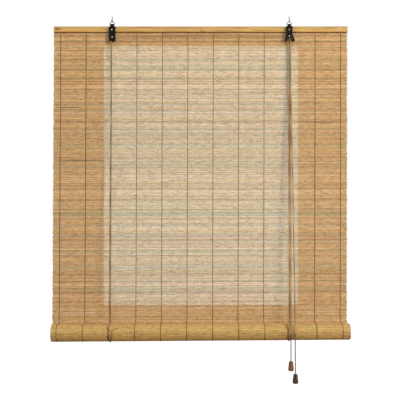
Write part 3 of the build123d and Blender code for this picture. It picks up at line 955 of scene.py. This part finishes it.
# How far a strand in front strays from straight, at equal steps down it. It then clears
# its housing's front plate and the roll when the blind is drawn up and it is short.
STRAY = (0, 6, 5, 2.5, 0, -1.5, -4, -5.2, 0)  # mm, to the back
STRAND_STEPS = 600


def front_strand(top, foot):
    """Guide points down a strand that hangs in front, from its top to its foot."""
    last = len(STRAY) - 1
    return [top.lerp(foot, n / last) + Vector((0, y * MM, 0)) for n, y in enumerate(STRAY)]


left_axle, right_axle = middle("left_axle_rivet"), middle("right_axle_rivet")
SHEAVE_CORD_R = 4.0 * MM
groove_y = 2.2 * MM  # each cord's groove, in front of and behind the sheaves' middle
bend_r = 33.25 * MM
pull_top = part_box("lift_cord_left_run")[0].z
strand_top = {"left": left_axle.z, "right": right_axle.z}
strand_y = {"left": -groove_y, "right": groove_y}
for side, cord_x in (("left", left_cord_x), ("right", right_cord_x)):
    _, back_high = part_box(f"lift_cord_{side}_back")
    back_top = Vector((cord_x, back_high.y - CORD_D / 2, back_high.z))
    behind = Vector((cord_x, roll_axis.y + bend_r, roll_axis.z))
    before = Vector((cord_x, roll_axis.y - bend_r, roll_axis.z))
    top = Vector((cord_x, strand_y[side], strand_top[side]))
    back = [back_top, (back_top + behind) / 2, behind]
    for part, points in (("back", back), ("front", front_strand(top, before))):
        start, end = points[0], points[-1]
        per_run = STRAND_STEPS // (len(points) - 1)
        piece, _ = lay_cord(f"lift_{side}_{part}", points, "head", per_run)
        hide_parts(f"lift_cord_{side}_{part}")
        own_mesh(piece)
    lowest = roll_place(cord_x, math.pi / 2, (SLAT_THICK + CORD_D) / 2 + CORD_CLEAR).z
    bend = [
        Vector((cord_x, roll_axis.y + p.x, roll_axis.z + (roll_axis.z - lowest) / bend_r * p.z))
        for p in around(0, 0, 0, bend_r, 0, -180, 8)
    ]
    piece, _ = lay_cord(f"lift_{side}_bend", bend, "roll_carrier", 12)
    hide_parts(f"lift_cord_{side}_bend")

climb = math.degrees(math.atan2(right_axle.z - left_axle.z, right_axle.x - left_axle.x))
pull_x = right_axle.x + SHEAVE_CORD_R
over_left = around(left_axle.x, left_axle.z, -groove_y, SHEAVE_CORD_R, 180, 90 + climb, 3)
over_right = around(right_axle.x, right_axle.z, -groove_y, SHEAVE_CORD_R, 90 + climb, 0, 3)
clear = Vector((6 * CORD_D, 0, 0))
run = over_left + [over_left[-1] + clear, over_right[0] - clear] + over_right
piece, _ = lay_cord(
    "lift_left_run", run + [Vector((pull_x, -groove_y, pull_top))], "head", 16
)
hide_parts("lift_cord_left_run")
short_run = around(right_axle.x, right_axle.z, groove_y, SHEAVE_CORD_R, 180, 0, 6)
piece, _ = lay_cord(
    "lift_right_run", short_run + [Vector((pull_x, groove_y, pull_top))], "head", 12
)
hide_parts("lift_cord_right_run")


knot_cotton, tree, shader = start_material("knotted_cotton", 0.9)
knot_yarn = add_node(tree, "TexNoise", {"Scale": 1 / (0.9 * MM), "Detail": 3.0})
tree.links.new(add_node(tree, "TexCoord").outputs["Object"], knot_yarn.inputs["Vector"])
knot_colour = add_node(
    tree,
    "ValToRGB",
    {"stops": [(0.3, linear("4e3920")), (0.7, linear("8a6c45"))]},
    {"Fac": knot_yarn.outputs["Fac"]},
)
tree.links.new(knot_colour.outputs["Color"], shader.inputs["Base Color"])
knot_relief = add_node(
    tree, "Bump", {"Distance": 0.3 * MM, "Strength": 0.8}, {"Height": knot_yarn.outputs["Fac"]}
)
tree.links.new(knot_relief.outputs["Normal"], shader.inputs["Normal"])
dress(knot_cotton, "lift_cord_knots")


def wound_knot(name, centre, radius, body, node):
    """A cord's stopper knot, pulled tight: a ball with the cord's own turns on it."""
    ball = bmesh.new()
    bmesh.ops.create_uvsphere(ball, u_segments=40, v_segments=26, radius=1.0)
    for v in ball.verts:
        at = math.atan2(v.co.y, v.co.x)
        furrow = 0.9 + 0.1 * abs(math.sin(1.5 * at + 3.2 * v.co.z))
        v.co = centre + v.co * radius * furrow
    piece = finish_piece(ball, name, knot_cotton, body, smooth=True)
    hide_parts(node)
    return piece


# Pull cords and tassels: the same two cords below the lock, drawn tight by a turned
# wood bell on each. The bells are stained, one lighter than the other, with a hollow
# foot that hides the stopper knot.


BELL_TALL = 31.4 * MM
LATHE_LINES = 1.4 * MM  # from one line that the tool left to the next
WAVE_BAND = 0.314  # the length of a wave node's band at a scale of 1
KNOT_R = 3.6 * MM
HANDLED_STEPS = 60


def stained_wood(name, pale, dark):
    """Turned hardwood under a thin brown stain: satin, darker in the lathe's lines."""
    material, tree, shader = start_material(name, 0.42)
    place = add_node(tree, "TexCoord").outputs["Object"]
    stretch = add_node(
        tree,
        "Mapping",
        {"Scale": (1 / (1.6 * MM), 1 / (1.6 * MM), 1 / (14 * MM))},
        {"Vector": place},
    )
    grain = add_node(
        tree, "TexNoise", {"Scale": 1.0, "Detail": 4.0}, {"Vector": stretch.outputs["Vector"]}
    )
    stain = add_node(
        tree,
        "ValToRGB",
        {"stops": [(0.3, linear(dark)), (0.7, linear(pale))]},
        {"Fac": grain.outputs["Fac"]},
    )
    tree.links.new(stain.outputs["Color"], shader.inputs["Base Color"])
    lines = add_node(
        tree,
        "TexWave",
        {"bands_direction": "Z", "Scale": WAVE_BAND / LATHE_LINES, "Distortion": 0.4},
        {"Vector": place},
    )
    relief = add_node(
        tree, "Bump", {"Distance": 0.06 * MM, "Strength": 0.5}, {"Height": lines.outputs["Fac"]}
    )
    tree.links.new(relief.outputs["Normal"], shader.inputs["Normal"])
    return material


def turned_bell(name, centre_x, centre_y, top, foot, material, body):
    """A bell turned on a lathe: bored for the cord, and hollow from its foot."""
    stretch = (top - foot) / BELL_TALL
    outline = [
        (2.3, -0.6), (2.9, 0.0), (5.6, 0.0), (6.5, -0.5), (7.05, -1.5), (7.25, -3.2),
        (7.6, -8.0), (8.2, -14.0), (8.9, -20.0), (9.4, -24.6), (9.5, -26.6), (9.2, -28.6),
        (8.2, -30.3), (6.6, -31.2), (5.2, -31.4), (4.3, -31.0), (4.15, -29.6), (4.1, -17.6),
        (3.4, -16.6), (2.3, -15.4), (2.3, -0.6),
    ]
    bell = bmesh.new()
    points = [
        bell.verts.new((centre_x + r * MM, centre_y, top + z * MM * stretch))
        for r, z in outline[:-1]
    ]
    ring = [bell.edges.new(pair) for pair in zip(points, points[1:] + points[:1])]
    bmesh.ops.spin(
        bell,
        geom=points + ring,
        cent=(centre_x, centre_y, 0),
        axis=(0, 0, 1),
        angle=2 * math.pi,
        steps=56,
        use_merge=True,
    )
    bmesh.ops.remove_doubles(bell, verts=bell.verts, dist=0.001 * MM)
    bmesh.ops.recalc_face_normals(bell, faces=bell.faces)
    return finish_piece(bell, name, material, body, smooth=True)


tassel_woods = {
    1: stained_wood("light_stained_beech", "8f6a52", "62432f"),
    2: stained_wood("dark_stained_beech", "643c28", "3a2014"),
}
for n, y in ((1, -groove_y), (2, groove_y)):
    low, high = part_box(f"tassel_{n}")
    hang = Vector(((low.x + high.x) / 2, (low.y + high.y) / 2, 0))
    knot_centre = middle(f"tassel_knot_{n}")
    pass_low, pass_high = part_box(f"pull_cord_{n}_upper")
    pass_x = pass_low.x + CORD_D / 2 if n == 1 else pass_high.x - CORD_D / 2
    top = Vector((pull_x, y, pull_top))
    at_roll = Vector((pass_x, roll_axis.y - bend_r, roll_axis.z))
    end = Vector((knot_centre.x, at_roll.y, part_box(f"pull_cord_{n}_lower")[0].z))
    strand = front_strand(top, at_roll)
    per_run = STRAND_STEPS // (len(strand) - 1)
    upper, upper_path = lay_cord(f"pull_{n}_upper", strand, "head", per_run)
    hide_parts(f"pull_cord_{n}_upper")
    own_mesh(upper)
    lower, lower_path = lay_cord(
        f"pull_{n}_lower",
        [at_roll, (at_roll + end) / 2, end],
        None,
        HANDLED_STEPS,
        handled_braid,
    )
    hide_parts(f"pull_cord_{n}_lower")
    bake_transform(lower)
    bell = turned_bell(
        f"tassel_bell_{n}", hang.x, hang.y, high.z, low.z, tassel_woods[n], f"tassel_{n}"
    )
    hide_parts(f"tassel_{n}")
    knot = wound_knot(
        f"tassel_stopper_{n}", knot_centre, KNOT_R, f"tassel_{n}", f"tassel_knot_{n}"
    )


# Studio: a plain white floor and surround, lit by a warm key light at the right, a soft
# light above and a small one under the rail's shade. A cool patch of daylight falls on
# the mat.

bpy.context.scene.view_settings.view_transform = "Standard"
FLOOR_Z = -3.2  # below the tassels when the blind is drawn up
floor_shape = bmesh.new()
bmesh.ops.create_grid(floor_shape, x_segments=1, y_segments=1, size=30.0)
bmesh.ops.translate(floor_shape, vec=(0, 0, FLOOR_Z), verts=floor_shape.verts)
floor_mesh = bpy.data.meshes.new("studio_floor")
floor_shape.to_mesh(floor_mesh)
floor_shape.free()
white, tree, shader = start_material("white_studio_paint", 0.9, 0.0, "5a5a5a")
shader.inputs["Emission Color"].default_value = linear("ffffff")
shader.inputs["Emission Strength"].default_value = 1.0
floor_mesh.materials.append(white)
studio_floor = bpy.data.objects.new("studio_floor", floor_mesh)
bpy.context.scene.collection.objects.link(studio_floor)
studio_floor.visible_diffuse = False
studio_floor.visible_glossy = False

world = bpy.data.worlds.new("white_surround")
bpy.context.scene.world = world
world.use_nodes = True
sky = world.node_tree
outwards = add_node(sky, "TexCoord").outputs["Generated"]
facing = add_node(sky, "SeparateXYZ", {}, {"Vector": outwards})
height = add_node(
    sky, "MapRange", {"From Min": -1.0, "From Max": 1.0}, {"Value": facing.outputs["Z"]}
)
glow = add_node(
    sky,
    "ValToRGB",
    {"stops": [(0.0, linear("645443")), (0.5, linear("b7a997")), (1.0, linear("d0d4d8"))]},
    {"Fac": height.outputs["Result"]},
)
seen = add_node(sky, "LightPath")
surround = add_node(
    sky,
    "Mix",
    {"data_type": "RGBA", 7: linear("ffffff")},
    {0: seen.outputs["Is Camera Ray"], 6: glow.outputs["Color"]},
)
sky.links.new(surround.outputs[2], sky.nodes["Background"].inputs["Color"])
sky.nodes["Background"].inputs["Strength"].default_value = 1.02


def area_light(name, place, target, size, watts, colour):
    lamp = bpy.data.lights.new(name, "AREA")
    lamp.shape = "RECTANGLE"
    lamp.size, lamp.size_y = size
    lamp.energy = watts
    lamp.color = colour
    lit = bpy.data.objects.new(name, lamp)
    bpy.context.scene.collection.objects.link(lit)
    lit.location = place
    lit.rotation_euler = (Vector(target) - Vector(place)).to_track_quat("-Z", "Y").to_euler()
    lit.visible_camera = False
    return lit


area_light(
    "key_light", (3.4, -4.8, 1.5), (0.0, 0.0, -0.5), (1.2, 1.2), 190.0, (1.0, 0.94, 0.83)
)
area_light("sky_light", (0.1, -1.6, 0.9), (0.0, 0.0, -0.3), (1.8, 0.9), 8.0, (0.88, 0.95, 1.0))
under_light = area_light(
    "under_light", (0.0, -0.5, -1.3), (0.0, 0.0, -0.05), (1.2, 0.4), 8.0, (1.0, 0.88, 0.7)
)
rail_group = bpy.data.collections.new("under_light_receivers")
rail_group.objects.link(bpy.data.objects["head_rail_front"])
under_light.light_linking.receiver_collection = rail_group

PATCH_LEFT, PATCH_RIGHT = -330 * MM, 332 * MM
PATCH_TOP, PATCH_FOOT = -92 * MM, -975 * MM
PATCH_SPREAD = math.radians(8)
patch_size = (PATCH_RIGHT - PATCH_LEFT, PATCH_TOP - PATCH_FOOT)
patch_middle = Vector(((PATCH_LEFT + PATCH_RIGHT) / 2, mat_y, (PATCH_TOP + PATCH_FOOT) / 2))
patch = area_light(
    "window_patch",
    patch_middle - Vector((0, 20 * MM, 0)),
    patch_middle,
    patch_size,
    1.75,
    (0.14, 0.42, 0.86),
)
patch.data.spread = PATCH_SPREAD
lit_pieces = bpy.data.collections.new("patch_receivers")
lit_pieces.objects.link(mat_piece)
lit_pieces.objects.link(warp_piece)
patch.light_linking.receiver_collection = lit_pieces
patch.light_linking.blocker_collection = lit_pieces

EYE = (-0.0024, -2.644, -0.6158)  # level with the blind's middle, 2.6 m in front of it
LENS = 70.09
SENSOR_WIDTH = 36.0
camera = bpy.data.objects.new("camera", bpy.data.cameras.new("camera"))
bpy.context.scene.collection.objects.link(camera)
camera.location = EYE
camera.rotation_euler = (math.radians(90), 0, 0)
camera.data.lens = LENS
camera.data.sensor_width = SENSOR_WIDTH
bpy.context.scene.camera = camera
